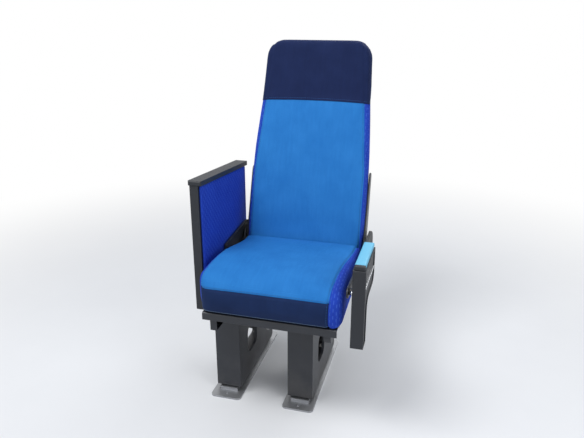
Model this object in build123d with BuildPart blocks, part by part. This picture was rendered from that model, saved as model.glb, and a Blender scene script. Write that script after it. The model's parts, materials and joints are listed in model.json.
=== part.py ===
from build123d import *
from math import cos, radians, sin
import os

# A single passenger seat of a minibus: two floor rails, two pressed legs, a seat frame
# with its pan and cushion, a reclining back, an armrest on the aisle side and an
# upholstered panel on the wall side.
# Millimetres. +X points to the aisle, +Y to the rear of the seat, +Z up. The passenger
# faces -Y. The origin is on the floor, in the middle of the seat's box.
# A setback is measured rearwards from the front of the cushion.

cushion_front_y = -354.7

# Floor rails
rail_spacing = 250
rail_pair_x = -50
rail_width = 104
rail_base = 6
rail_rib_width = 62
rail_height = 16
rail_overhang = 43
rail_end_land = 40
floor_bolt_radius = 5

# Pressed legs
leg_width = 84
leg_height = 274
leg_sheet = 3
leg_lap = 3
leg_foot_reach = 21
leg_waist = 83
leg_corner = 14
leg_shoulder = 40
leg_hole_width = 96
leg_hole_height = 104
leg_hole_corner = 28
leg_hole_lip = 9

# Seat frame
tube_depth = 40
tube_height = 30
tube_wall = 3
tube_corner = 4.5
front_tube_setback = 123
rear_tube_setback = 422
side_rail_inset = 26
side_rail_flange = 22
side_rail_sheet = 2.5
side_rail_height = 64
side_rail_setback = 27

# Pan under the cushion
pan_inset = 6
pan_sheet = 2
pan_setback = 15
pan_skirt = 24
pan_bend = 6
pan_dish_width = 300
pan_dish_length = 270
pan_dish_depth = 7
pan_dish_corner = 34

# Cushion
cushion_half_width = 218
cushion_depth = 434
cushion_thickness = 104
cushion_crown = 10
cushion_flare = 8
cushion_nose = 52
cushion_corner = 64
cushion_undercut = 12
seam_front_inset = {"wall": 9, "aisle": 40}
seam_rear_inset = {"wall": 7, "aisle": 18}
soft_gap = 0.3

# Back, in its own plane: u runs up the back from the pivot, v runs to the rear
back_lean = 16
back_height = 716
back_inset = 3.6
back_low_inset = 1.4
back_mid_u = 150
back_high_inset = 17.4
back_high_u = 505
back_top_inset = 26.4
back_top_corner = 62
back_top_round = 30
back_front_v = 50
back_lumbar = 5
back_head_v = 41
back_rear_low_v = 42
back_rear_high_v = 24
back_rear_top_drop = 22
back_rear_top_bulge = 0.7
back_bottom_radius = 46
panel_low_border = 9
panel_mid_border = 13.4
panel_mid_u = 250
panel_top_border = 30
board_front_v = -8
board_rear_v = 6
shell_wall = 4
shell_draft = 14

# Head cover
cover_cloth = 3
cover_front_u = 494
cover_rear_u = 560
cover_gap = 0.4

# Recliner hinge
pivot_rise = 87
recline_clearance = 6
pin_radius = 7
pin_shoulder_radius = 12
running_fit = 0.06
fixed_fit = 0.02
side_gap = 0.3
arm_plate = 5
arm_boss_radius = 30
arm_tip_radius = 17
arm_tip_u = 240
hinge_gap = 5.2
hinge_plate_sheet = 5
hinge_boss_radius = 34
hinge_foot_depth = 84
hinge_foot_height = 62
hinge_foot_drop = 13

# Moulded hinge covers
hinge_cover_depth = 10
hinge_cover_wall = 2.5
hinge_cover_radius = 50
hinge_cover_margin = 5
cover_boss_radius = 5
cover_boss_spacing = 48
cover_boss_lift = 16
hinge_cover_corner = 14
hinge_cover_chamfer = 2
tongue_length = 205
tongue_rise = 34
tongue_height = 58
tongue_tip = 40
tongue_corner = 9
tongue_crook = 30

# Aisle armrest
armrest_clearance = 12.1
armrest_width = 38
armrest_setback = 13
armrest_length = 188
armrest_rise = 104.5
armrest_pad = 14
armrest_pad_width = 32
armrest_beam_height = 111
armrest_post_depth = 50
armrest_post_height = 251
armrest_corner = 32
armrest_top_radius = 6
armrest_foot_radius = 3
armrest_pad_radius = 5
armrest_pad_chamfer = 4
armrest_inner_radius = 34
armrest_rim = 7
armrest_recess = 3
trim_strip_drop = 58
trim_strip_height = 6
trim_strip_margin = 9
support_bar_sheet = 5
support_bar_height = 34
support_bar_front = 34
support_bar_rear = 25
support_bar_rise = 18
support_boss_radius = 11
support_boss_inset = 26
button_radius = 6
button_length = 5
button_chamfer = 2
button_inset = 14
button_rise = 13

# Wall-side panel
wall_panel_clearance = 6.1
wall_cloth = 12
wall_cloth_round = 4
wall_core = 28
wall_core_skin = 4
wall_rib = 3
wall_rib_pitch = 138
wall_cap = 16
wall_cap_width = 44
wall_cap_overhang = 4
wall_cap_round = 5
wall_panel_setback = 134
wall_panel_length = 416
wall_panel_front_rise = 258.5
wall_panel_slope = 5
wall_panel_height = 432
wall_panel_corner = 6
wall_cloth_margin = 7
wall_cloth_lift = 42
wall_bracket_height = 26
wall_bracket_drop = 38
wall_bracket_depth = 30
wall_bracket_wall = 3
wall_bracket_setback = {"front": 180, "rear": 370}

# Heights, from the floor up
leg_bottom_z = rail_height
tube_bottom_z = leg_bottom_z + leg_height
frame_top_z = tube_bottom_z + side_rail_height
pan_top_z = frame_top_z + pan_sheet
cushion_bottom_z = pan_top_z + soft_gap
cushion_top_z = cushion_bottom_z + cushion_thickness
seat_z = cushion_top_z + cushion_crown / 2
pivot_z = frame_top_z + pivot_rise
hinge_foot_bottom_z = tube_bottom_z - hinge_foot_drop
armrest_top_z = seat_z + armrest_rise
armrest_body_top_z = armrest_top_z - armrest_pad
armrest_beam_bottom_z = armrest_body_top_z - armrest_beam_height
armrest_post_bottom_z = armrest_body_top_z - armrest_post_height
support_bar_z = pivot_z + support_bar_rise
wall_panel_front_z = seat_z + wall_panel_front_rise
wall_panel_bottom_z = wall_panel_front_z - wall_panel_height
wall_panel_middle_z = wall_panel_front_z - wall_panel_height / 2
wall_slope = sin(radians(wall_panel_slope))

# Places from the front of the seat to the rear
front_tube_y = cushion_front_y + front_tube_setback + tube_depth / 2
rear_tube_y = cushion_front_y + rear_tube_setback + tube_depth / 2
leg_front_y = front_tube_y - tube_depth / 2 - leg_lap
leg_top_rear_y = rear_tube_y + tube_depth / 2 + leg_lap
leg_foot_rear_y = leg_top_rear_y + leg_foot_reach
leg_waist_y = leg_top_rear_y - leg_waist
rail_front_y = leg_front_y - rail_overhang
rail_length = leg_foot_rear_y + rail_overhang - rail_front_y
side_rail_front_y = cushion_front_y + side_rail_setback
pan_front_y = cushion_front_y + pan_setback
cushion_rear_y = cushion_front_y + cushion_depth
pivot_y = cushion_rear_y + recline_clearance + back_front_v
tongue_front_y = pivot_y - tongue_length
armrest_front_y = cushion_front_y + armrest_setback
armrest_rear_y = armrest_front_y + armrest_length
wall_panel_front_y = cushion_front_y + wall_panel_setback
wall_panel_rear_y = wall_panel_front_y + wall_panel_length

# Places from the middle of the seat outwards
rail_x = {"wall": rail_pair_x - rail_spacing / 2, "aisle": rail_pair_x + rail_spacing / 2}
side_sign = {"wall": -1, "aisle": 1}
side_rail_half = cushion_half_width - side_rail_inset
pan_half_width = cushion_half_width - pan_inset
cushion_front_half = cushion_half_width + cushion_flare
seam_front_wall_x = seam_front_inset["wall"] - cushion_front_half
seam_rear_wall_x = seam_rear_inset["wall"] - cushion_half_width
seam_front_aisle_x = cushion_front_half - seam_front_inset["aisle"]
seam_rear_aisle_x = cushion_half_width - seam_rear_inset["aisle"]
back_mid_half = cushion_half_width - back_inset
back_low_half = back_mid_half - back_low_inset
back_high_half = back_mid_half - back_high_inset
back_top_half = back_mid_half - back_top_inset
panel_low_half = back_low_half - panel_low_border
panel_mid_half = back_mid_half - panel_mid_border
panel_top_half = back_top_half - panel_top_border
arm_plate_inner = back_mid_half + side_gap
arm_plate_outer = arm_plate_inner + arm_plate
hinge_plate_inner = arm_plate_outer + hinge_gap
hinge_plate_outer = hinge_plate_inner + hinge_plate_sheet
hinge_cover_outer = hinge_plate_outer + hinge_cover_depth
armrest_inner_x = hinge_cover_outer + armrest_clearance
armrest_outer_x = armrest_inner_x + armrest_width
support_bar_length = pivot_y - support_bar_rear - armrest_front_y - support_bar_front
support_bar_y = armrest_front_y + support_bar_front + support_bar_length / 2
wall_panel_inner_x = -(hinge_cover_outer + wall_panel_clearance)
wall_core_inner_x = wall_panel_inner_x - wall_cloth
wall_core_outer_x = wall_core_inner_x - wall_core

# Planes of the back: seen from the front, and seen from the aisle side
lean_sin = sin(radians(back_lean))
lean_cos = cos(radians(back_lean))
pivot = (0, pivot_y, pivot_z)
back_face = Plane(origin=pivot, x_dir=(1, 0, 0), z_dir=(0, -lean_cos, lean_sin))
back_side = Plane(origin=pivot, x_dir=(0, lean_cos, -lean_sin), z_dir=(1, 0, 0))
back_reach = 2 * back_front_v

pieces = []


def keep(piece, label):
    piece.part.label = label
    pieces.append(piece.part)


def side_plane(inner_x, side):
    """A plane seen from the aisle side, inner_x out from the middle, for one side."""
    return Plane.YZ.offset(side_sign[side] * inner_x)


# Floor rails: a ribbed aluminium section with a land for the floor bolt at each end
def floor_rail(side):
    with BuildPart() as rail:
        with BuildSketch(Plane.XZ.offset(-rail_front_y)):
            with Locations((rail_x[side], rail_base / 2)):
                Rectangle(rail_width, rail_base)
            with Locations((rail_x[side], rail_height / 2)):
                Rectangle(rail_rib_width, rail_height)
        extrude(amount=-rail_length)
        with BuildSketch(Plane.XY.offset(rail_base)):
            for end_y in (rail_front_y, rail_front_y + rail_length):
                with Locations((rail_x[side], end_y)):
                    Rectangle(rail_width, 2 * rail_end_land)
        extrude(amount=rail_height, mode=Mode.SUBTRACT)
        fillet(rail.edges().filter_by(Axis.Z).group_by(Axis.Z)[0], radius=leg_corner)
        with Locations((rail_x[side], rail_front_y + rail_length / 2, rail_base)):
            with GridLocations(0, rail_length - rail_end_land, 1, 2):
                Hole(floor_bolt_radius)
    return rail


for side in side_sign:
    keep(floor_rail(side), f"floor_rail_{side}")


# Legs: a dished pressing with a straight front, a waisted rear edge and a lightening hole
# with a turned-in lip
def leg_outline():
    top_rear = (leg_top_rear_y, tube_bottom_z - leg_shoulder)
    foot_rear = (leg_foot_rear_y, leg_bottom_z + leg_shoulder)
    with BuildSketch() as outline:
        with BuildLine():
            Polyline(
                foot_rear,
                (leg_foot_rear_y, leg_bottom_z),
                (leg_front_y, leg_bottom_z),
                (leg_front_y, tube_bottom_z),
                (leg_top_rear_y, tube_bottom_z),
                top_rear,
            )
            ThreePointArc(top_rear, (leg_waist_y, (leg_bottom_z + tube_bottom_z) / 2), foot_rear)
        make_face()
        fillet(outline.vertices(), radius=leg_corner)
    return outline.sketch


def pressed_leg(side):
    outer_x = rail_x[side] + leg_width / 2
    hole_y = (leg_front_y + leg_waist_y) / 2
    hole_z = (leg_bottom_z + tube_bottom_z) / 2
    with BuildPart() as leg:
        with BuildSketch(Plane.YZ.offset(outer_x)):
            add(leg_outline())
        extrude(amount=-leg_width)
        with BuildSketch(Plane.YZ.offset(outer_x - leg_sheet)):
            add(leg_outline())
            offset(amount=-leg_sheet, mode=Mode.REPLACE)
        extrude(amount=-leg_width, mode=Mode.SUBTRACT)
        with BuildSketch(Plane.YZ.offset(outer_x)):
            with Locations((hole_y, hole_z)):
                RectangleRounded(
                    leg_hole_width + 2 * leg_sheet,
                    leg_hole_height + 2 * leg_sheet,
                    leg_hole_corner + leg_sheet,
                )
        extrude(amount=-leg_hole_lip)
        with BuildSketch(Plane.YZ.offset(outer_x)):
            with Locations((hole_y, hole_z)):
                RectangleRounded(leg_hole_width, leg_hole_height, leg_hole_corner)
        extrude(amount=-leg_width, mode=Mode.SUBTRACT)
    return leg


for side in side_sign:
    keep(pressed_leg(side), f"leg_{side}")


# Cross tubes: the front one runs between the side rails, the rear one out to the hinge
# plates
def cross_tube(centre_y, half_length):
    with BuildPart() as tube:
        with BuildSketch(Plane.YZ.offset(-half_length)) as section:
            with Locations((centre_y, tube_bottom_z + tube_height / 2)):
                RectangleRounded(tube_depth, tube_height, tube_corner)
                offset(amount=-tube_wall, mode=Mode.SUBTRACT)
        extrude(amount=2 * half_length)
    return tube


keep(cross_tube(front_tube_y, side_rail_half - side_rail_flange), "cross_tube_front")
keep(cross_tube(rear_tube_y, hinge_plate_inner), "cross_tube_rear")


# Side rails: pressed channels, open to the inside, with a rounded lower front corner
def side_rail(side):
    rear_y = rear_tube_y - tube_depth / 2
    length = rear_y - side_rail_front_y
    outward = side_sign[side]
    with BuildPart() as rail:
        with BuildSketch(side_plane(side_rail_half, side)) as web:
            with Locations((side_rail_front_y + length / 2, frame_top_z - side_rail_height / 2)):
                Rectangle(length, side_rail_height)
            low_front = web.vertices().group_by(Axis.Y)[0].sort_by(Axis.Z)[0]
            fillet(low_front, radius=side_rail_height / 2)
        extrude(amount=-outward * side_rail_flange)
        inner_face = rail.faces().filter_by(Axis.X).sort_by(Axis.X)[0 if outward > 0 else -1]
        offset(amount=-side_rail_sheet, openings=inner_face)
    return rail


for side in side_sign:
    keep(side_rail(side), f"side_rail_{side}")


# Cushion pan: flat sheet with a turned-down front and a shallow dish
with BuildPart() as pan:
    pan_rear_y = rear_tube_y - tube_depth / 2
    pan_middle_y = (pan_front_y + pan_rear_y) / 2
    with BuildSketch(Plane.YZ.offset(-pan_half_width)):
        with BuildLine():
            bend = FilletPolyline(
                (pan_rear_y, pan_top_z - pan_sheet / 2),
                (pan_front_y, pan_top_z - pan_sheet / 2),
                (pan_front_y, pan_top_z - pan_skirt),
                radius=pan_bend,
            )
            offset(bend, amount=pan_sheet / 2, side=Side.BOTH)
        make_face()
    extrude(amount=2 * pan_half_width)
    with BuildSketch(Plane.XY.offset(frame_top_z)):
        with Locations((0, pan_middle_y)):
            RectangleRounded(pan_dish_width, pan_dish_length, pan_dish_corner)
    extrude(amount=-pan_dish_depth)
    with BuildSketch(Plane.XY.offset(pan_top_z)):
        with Locations((0, pan_middle_y)):
            RectangleRounded(
                pan_dish_width - 2 * pan_sheet,
                pan_dish_length - 2 * pan_sheet,
                pan_dish_corner - pan_sheet,
            )
    extrude(amount=-pan_dish_depth, mode=Mode.SUBTRACT)
keep(pan, "cushion_pan")


# Cushion: the pale top rolls over the front and, on the wall side, over the edge; darker
# gussets close the two sides
def cushion_side():
    front_y = cushion_front_y + cushion_undercut
    nose_z = cushion_bottom_z + cushion_thickness / 2
    with BuildSketch(Plane.YZ) as outline:
        with BuildLine():
            Line((cushion_rear_y, cushion_bottom_z), (front_y, cushion_bottom_z))
            ThreePointArc(
                (front_y, cushion_bottom_z),
                (cushion_front_y, nose_z),
                (cushion_front_y + cushion_nose, cushion_top_z),
            )
            ThreePointArc(
                (cushion_front_y + cushion_nose, cushion_top_z),
                ((cushion_front_y + cushion_nose + cushion_rear_y) / 2, cushion_top_z + cushion_crown),
                (cushion_rear_y, cushion_top_z),
            )
            Line((cushion_rear_y, cushion_top_z), (cushion_rear_y, cushion_bottom_z))
        make_face()
    return outline.sketch


def cushion_plan():
    with BuildSketch(Plane.XY) as outline:
        with BuildLine():
            Polyline(
                (-cushion_half_width, cushion_rear_y),
                (-cushion_front_half, cushion_front_y),
                (cushion_front_half, cushion_front_y),
                (cushion_half_width, cushion_rear_y),
                close=True,
            )
        make_face()
        fillet(outline.vertices().group_by(Axis.Y)[0], radius=cushion_corner)
    return outline.sketch


def cushion_panel_plan():
    with BuildSketch(Plane.XY) as outline:
        with BuildLine():
            Polyline(
                (seam_rear_wall_x, cushion_rear_y),
                (seam_front_wall_x, cushion_front_y),
                (seam_front_aisle_x, cushion_front_y),
                (seam_rear_aisle_x, cushion_rear_y),
                close=True,
            )
        make_face()
    return outline.sketch


with BuildPart() as cushion:
    extrude(to_extrude=cushion_side(), amount=cushion_front_half, both=True)
    extrude(to_extrude=cushion_plan(), amount=2 * cushion_top_z, mode=Mode.INTERSECT)
    extrude(to_extrude=cushion_panel_plan(), amount=2 * cushion_top_z, mode=Mode.INTERSECT)
keep(cushion, "cushion_panel")

for side in side_sign:
    with BuildPart() as gusset:
        extrude(to_extrude=cushion_side(), amount=side_sign[side] * cushion_front_half)
        extrude(to_extrude=cushion_plan(), amount=2 * cushion_top_z, mode=Mode.INTERSECT)
        extrude(to_extrude=cushion_panel_plan(), amount=2 * cushion_top_z, mode=Mode.SUBTRACT)
    keep(gusset, f"cushion_gusset_{side}")


# Back: outline from the front, and the two halves of its thickness from the side
def back_outline(grow=0):
    top_u = back_height + grow
    with BuildSketch(back_face) as outline:
        with BuildLine():
            ThreePointArc(
                (back_low_half + grow, -back_front_v),
                (back_mid_half + grow, back_mid_u),
                (back_high_half + grow, back_high_u),
            )
            Line((back_high_half + grow, back_high_u), (back_top_half + grow, top_u))
            Line((back_top_half + grow, top_u), (-back_top_half - grow, top_u))
            Line((-back_top_half - grow, top_u), (-back_high_half - grow, back_high_u))
            ThreePointArc(
                (-back_high_half - grow, back_high_u),
                (-back_mid_half - grow, back_mid_u),
                (-back_low_half - grow, -back_front_v),
            )
            Line((-back_low_half - grow, -back_front_v), (back_low_half + grow, -back_front_v))
        make_face()
        fillet(outline.vertices().group_by(Axis.Z)[-1], radius=back_top_corner + grow)
    return outline.sketch


def panel_outline():
    with BuildSketch(back_face) as outline:
        with BuildLine():
            Line((-panel_low_half, -back_front_v), (panel_low_half, -back_front_v))
            Line((panel_low_half, -back_front_v), (panel_mid_half, panel_mid_u))
            Line((panel_mid_half, panel_mid_u), (panel_top_half, back_height + back_front_v))
            Line(
                (panel_top_half, back_height + back_front_v),
                (-panel_top_half, back_height + back_front_v),
            )
            Line((-panel_top_half, back_height + back_front_v), (-panel_mid_half, panel_mid_u))
            Line((-panel_mid_half, panel_mid_u), (-panel_low_half, -back_front_v))
        make_face()
    return outline.sketch


def back_front_half(grow=0, rear_v=board_front_v):
    """Foam from the board to the passenger: round below the pivot, a little lumbar swell."""
    top_u = back_height + grow
    head_v = -back_head_v - grow
    top_round = back_top_round + grow
    round_in = top_round * (1 - cos(radians(45)))
    with BuildSketch(back_side) as outline:
        with BuildLine():
            Line((rear_v, -back_bottom_radius), (rear_v, top_u))
            Line((rear_v, top_u), (head_v + top_round, top_u))
            ThreePointArc(
                (head_v + top_round, top_u),
                (head_v + round_in, top_u - round_in),
                (head_v, top_u - top_round),
            )
            Line((head_v, top_u - top_round), (head_v, back_high_u))
            ThreePointArc(
                (head_v, back_high_u),
                (-back_front_v - back_lumbar - grow, back_mid_u),
                (-back_front_v - grow, 0),
            )
            ThreePointArc(
                (-back_front_v - grow, 0),
                (-back_front_v * cos(radians(45)), -back_front_v * sin(radians(45))),
                (rear_v, -back_bottom_radius),
            )
        make_face()
    return outline.sketch


def back_rear_half(grow=0):
    """The shell's side of the back, flat against the board and thinner towards the top."""
    top_u = back_height + grow
    high_v = back_rear_high_v + grow
    low_v = back_rear_low_v + grow
    bottom = back_bottom_radius + min(grow, 0)
    bulge_v = board_rear_v + back_rear_top_bulge * (high_v - board_rear_v)
    bulge_u = top_u - (1 - back_rear_top_bulge) * back_rear_top_drop
    with BuildSketch(back_side) as outline:
        with BuildLine():
            Line((board_rear_v, -bottom), (board_rear_v, top_u))
            ThreePointArc(
                (board_rear_v, top_u),
                (bulge_v, bulge_u),
                (high_v, top_u - back_rear_top_drop),
            )
            Line((high_v, top_u - back_rear_top_drop), (low_v, back_mid_u))
            Line((low_v, back_mid_u), (low_v, 0))
            ThreePointArc(
                (low_v, 0),
                (low_v * cos(radians(45)), -bottom * sin(radians(45))),
                (board_rear_v, -bottom),
            )
        make_face()
    return outline.sketch


with BuildPart() as back_panel:
    extrude(to_extrude=back_front_half(), amount=back_mid_half, both=True)
    extrude(to_extrude=back_outline(), amount=back_reach, both=True, mode=Mode.INTERSECT)
    extrude(to_extrude=panel_outline(), amount=back_reach, both=True, mode=Mode.INTERSECT)
keep(back_panel, "back_panel")

for side in side_sign:
    with BuildPart() as bolster:
        extrude(
            to_extrude=back_front_half(rear_v=board_rear_v), amount=side_sign[side] * back_mid_half
        )
        extrude(to_extrude=back_outline(), amount=back_reach, both=True, mode=Mode.INTERSECT)
        extrude(to_extrude=panel_outline(), amount=back_reach, both=True, mode=Mode.SUBTRACT)
    keep(bolster, f"back_bolster_{side}")

with BuildPart() as back_board:
    with BuildSketch(back_side):
        with Locations(((board_front_v + board_rear_v) / 2, (back_height - back_bottom_radius) / 2)):
            Rectangle(board_rear_v - board_front_v, back_height + back_bottom_radius)
    extrude(amount=back_mid_half, both=True)
    extrude(to_extrude=back_outline(), amount=back_reach, both=True, mode=Mode.INTERSECT)
    extrude(to_extrude=panel_outline(), amount=back_reach, both=True, mode=Mode.INTERSECT)
keep(back_board, "back_board")

with BuildPart() as back_shell:
    extrude(to_extrude=back_outline(), amount=-back_reach, taper=shell_draft)
    extrude(
        to_extrude=back_rear_half(), amount=back_mid_half, both=True, mode=Mode.INTERSECT
    )
    with BuildPart(mode=Mode.PRIVATE) as hollow:
        extrude(to_extrude=back_outline(-shell_wall), amount=-back_reach, taper=shell_draft)
        extrude(
            to_extrude=back_rear_half(-shell_wall),
            amount=back_mid_half,
            both=True,
            mode=Mode.INTERSECT,
        )
    add(hollow.part, mode=Mode.SUBTRACT)
keep(back_shell, "back_shell")


# Head cover: a sewn cap of cloth over the top of the back, shorter behind
def back_body(grow):
    with BuildPart() as body:
        extrude(
            to_extrude=back_front_half(grow, board_rear_v), amount=back_mid_half + grow, both=True
        )
        extrude(to_extrude=back_rear_half(grow), amount=back_mid_half + grow, both=True)
        extrude(to_extrude=back_outline(grow), amount=back_reach, both=True, mode=Mode.INTERSECT)
    return body.part


with BuildPart() as head_cover:
    add(back_body(cover_gap + cover_cloth))
    add(back_body(cover_gap), mode=Mode.SUBTRACT)
    with BuildSketch(back_side):
        with BuildLine():
            Polyline(
                (-2 * back_front_v, -2 * back_front_v),
                (2 * back_front_v, -2 * back_front_v),
                (2 * back_front_v, cover_rear_u),
                (board_rear_v, cover_rear_u),
                (-back_head_v, cover_front_u),
                (-2 * back_front_v, cover_front_u),
                close=True,
            )
        make_face()
    extrude(amount=2 * back_mid_half, both=True, mode=Mode.SUBTRACT)
keep(head_cover, "head_cover")


# Steel arms of the back, outside the upholstery, bored for the hinge pins
def back_arm(side):
    outward = side_sign[side]
    plane = Plane(
        origin=(outward * arm_plate_inner, pivot_y, pivot_z), x_dir=back_side.x_dir, z_dir=(1, 0, 0)
    )
    with BuildPart() as arm:
        with BuildSketch(plane):
            Circle(arm_boss_radius)
            with Locations((0, arm_tip_u)):
                Circle(arm_tip_radius)
            make_hull()
            Circle(pin_radius + running_fit, mode=Mode.SUBTRACT)
        extrude(amount=outward * arm_plate)
    return arm


for side in side_sign:
    keep(back_arm(side), f"back_arm_{side}")


# Hinge plates: from the end of the rear cross tube up to the pivot boss
def hinge_plate(side):
    with BuildPart() as plate:
        with BuildSketch(side_plane(hinge_plate_inner, side)):
            with Locations((pivot_y, pivot_z)):
                Circle(hinge_boss_radius)
            with Locations((rear_tube_y, hinge_foot_bottom_z + hinge_foot_height / 2)):
                RectangleRounded(hinge_foot_depth, hinge_foot_height, leg_corner)
            make_hull()
            with Locations((pivot_y, pivot_z)):
                Circle(pin_radius + fixed_fit, mode=Mode.SUBTRACT)
        extrude(amount=side_sign[side] * hinge_plate_sheet)
    return plate


for side in side_sign:
    keep(hinge_plate(side), f"hinge_plate_{side}")


# Hinge pins: pressed into the hinge plate, shouldered between the fixed and the moving plate
def hinge_pin(side):
    outward = side_sign[side]
    with BuildPart() as pin:
        with BuildSketch(side_plane(arm_plate_inner + side_gap, side)):
            with Locations((pivot_y, pivot_z)):
                Circle(pin_radius)
        extrude(amount=outward * (hinge_plate_outer - arm_plate_inner - side_gap))
        with BuildSketch(side_plane(arm_plate_outer + side_gap, side)):
            with Locations((pivot_y, pivot_z)):
                Circle(pin_shoulder_radius)
        extrude(amount=outward * (hinge_gap - side_gap))
    return pin


for side in side_sign:
    keep(hinge_pin(side), f"hinge_pin_{side}")


# Moulded covers over the hinges: a column down to the cross tube and a tongue that runs
# forward along the cushion, blended where they part
def cover_boss_disc():
    with BuildSketch() as disc:
        with Locations((pivot_y, pivot_z)):
            Circle(hinge_cover_radius)
    return disc.sketch


def cover_column():
    with BuildSketch() as column:
        add(cover_boss_disc())
        with Locations((rear_tube_y, hinge_foot_bottom_z + hinge_foot_height / 2)):
            RectangleRounded(
                hinge_foot_depth + 2 * hinge_cover_margin,
                hinge_foot_height + 2 * hinge_cover_margin,
                hinge_cover_corner,
            )
        make_hull(mode=Mode.REPLACE)
    return column.sketch


def cover_tongue():
    tip_z = pivot_z + tongue_rise - tongue_height / 2
    with BuildSketch() as tongue:
        add(cover_boss_disc())
        with Locations((tongue_front_y + tongue_tip / 2, tip_z)):
            RectangleRounded(tongue_tip, tongue_height, tongue_corner)
        make_hull(mode=Mode.REPLACE)
    return tongue.sketch


def hinge_cover_outline():
    with BuildSketch() as outline:
        add(cover_column())
        add(cover_tongue())
        crook = (rear_tube_y - hinge_foot_depth / 2, pivot_z - hinge_cover_radius)
        fillet(outline.vertices().sort_by_distance(crook)[0], radius=tongue_crook)
    return outline.sketch


def hinge_cover(side):
    outward = side_sign[side]
    with BuildPart() as cover:
        with BuildSketch(side_plane(hinge_plate_outer, side)):
            add(hinge_cover_outline())
        extrude(amount=outward * hinge_cover_depth)
        outer_face = cover.faces().sort_by(Axis.X)[-1 if outward > 0 else 0]
        chamfer(outer_face.edges(), length=hinge_cover_chamfer)
        with BuildSketch(side_plane(hinge_plate_outer, side)):
            add(hinge_cover_outline())
            offset(amount=-hinge_cover_wall, mode=Mode.REPLACE)
        extrude(amount=outward * (hinge_cover_depth - hinge_cover_wall), mode=Mode.SUBTRACT)
        if side == "aisle":
            with BuildSketch(side_plane(hinge_plate_outer, side)):
                with Locations((support_bar_y, support_bar_z)):
                    Rectangle(support_bar_length, support_bar_height + 2 * side_gap)
            extrude(amount=outward * (support_bar_sheet + side_gap), mode=Mode.SUBTRACT)
        with BuildSketch(side_plane(hinge_plate_outer, side)):
            with Locations((rear_tube_y, hinge_foot_bottom_z + cover_boss_lift)):
                with GridLocations(cover_boss_spacing, 0, 2, 1):
                    Circle(cover_boss_radius)
        extrude(amount=outward * hinge_cover_depth)
    return cover


for side in side_sign:
    keep(hinge_cover(side), f"hinge_cover_{side}")


# Aisle armrest: a flat bar from the hinge plate carries a moulded body with a pad
with BuildPart() as support_bar:
    with BuildSketch(Plane.YZ.offset(hinge_plate_outer)):
        with Locations((support_bar_y, support_bar_z)):
            SlotOverall(support_bar_length, support_bar_height)
    extrude(amount=support_bar_sheet)
    with BuildSketch(Plane.YZ.offset(hinge_plate_outer + support_bar_sheet)):
        with Locations(
            (armrest_front_y + support_bar_front + support_boss_inset, support_bar_z),
            (armrest_rear_y - support_boss_inset, support_bar_z),
        ):
            Circle(support_boss_radius)
    extrude(amount=armrest_inner_x - hinge_plate_outer - support_bar_sheet)
keep(support_bar, "armrest_support_bar")


def armrest_outline():
    post_rear_y = armrest_front_y + armrest_post_depth
    with BuildSketch() as outline:
        with BuildLine():
            FilletPolyline(
                (armrest_front_y, armrest_body_top_z),
                (armrest_rear_y, armrest_body_top_z),
                (armrest_rear_y, armrest_beam_bottom_z),
                (post_rear_y, armrest_beam_bottom_z),
                (post_rear_y, armrest_post_bottom_z),
                (armrest_front_y, armrest_post_bottom_z),
                radius=(
                    armrest_top_radius,
                    armrest_top_radius,
                    armrest_corner,
                    armrest_inner_radius,
                    armrest_foot_radius,
                    armrest_foot_radius,
                ),
                close=True,
            )
        make_face()
    return outline.sketch


with BuildPart() as armrest_body:
    with BuildSketch(Plane.YZ.offset(armrest_inner_x)):
        add(armrest_outline())
    extrude(amount=armrest_width)
    for face_x, inward in ((armrest_outer_x, -1), (armrest_inner_x, 1)):
        with BuildSketch(Plane.YZ.offset(face_x)):
            add(armrest_outline())
            offset(amount=-armrest_rim, mode=Mode.REPLACE)
        extrude(amount=inward * armrest_recess, mode=Mode.SUBTRACT)
keep(armrest_body, "armrest_body")

with BuildPart() as armrest_pad_piece:
    with BuildSketch(Plane.XY.offset(armrest_body_top_z)):
        with Locations((armrest_inner_x + armrest_width / 2, armrest_front_y + armrest_length / 2)):
            RectangleRounded(armrest_pad_width, armrest_length, armrest_pad_radius)
    extrude(amount=armrest_pad)
    chamfer(armrest_pad_piece.edges().group_by(Axis.Z)[-1], length=armrest_pad_chamfer)
keep(armrest_pad_piece, "armrest_pad")

with BuildPart() as trim_strip:
    strip_length = armrest_length - 2 * trim_strip_margin
    strip_x = armrest_outer_x - armrest_recess
    with BuildSketch(Plane.YZ.offset(strip_x)):
        with Locations((armrest_front_y + armrest_length / 2, armrest_body_top_z - trim_strip_drop)):
            SlotOverall(strip_length, trim_strip_height)
    extrude(amount=armrest_recess)
keep(trim_strip, "armrest_trim_strip")

with BuildPart() as recline_button:
    with BuildSketch(Plane.YZ.offset(armrest_inner_x + armrest_recess)):
        with Locations((armrest_front_y + button_inset, seat_z + button_rise)):
            Circle(button_radius)
    extrude(amount=-armrest_recess - button_length)
    button_rim = recline_button.edges().filter_by(GeomType.CIRCLE).sort_by(Axis.X)[0]
    chamfer(button_rim, length=button_chamfer)
keep(recline_button, "recline_button")


# Wall-side panel: a core with a cloth pad inside and a cap on its sloping top
def wall_top_z(y):
    return wall_panel_front_z - (y - wall_panel_front_y) * wall_slope


def wall_outline(inset=0, lift=0):
    front_y = wall_panel_front_y + inset
    rear_y = wall_panel_rear_y - inset
    bottom_z = wall_panel_bottom_z + lift
    with BuildSketch() as outline:
        with BuildLine():
            Polyline(
                (front_y, bottom_z),
                (front_y, wall_top_z(front_y)),
                (rear_y, wall_top_z(rear_y)),
                (rear_y, bottom_z),
                close=True,
            )
        make_face()
        fillet(outline.vertices().group_by(Axis.Y)[0], radius=wall_panel_corner)
    return outline.sketch


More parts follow.
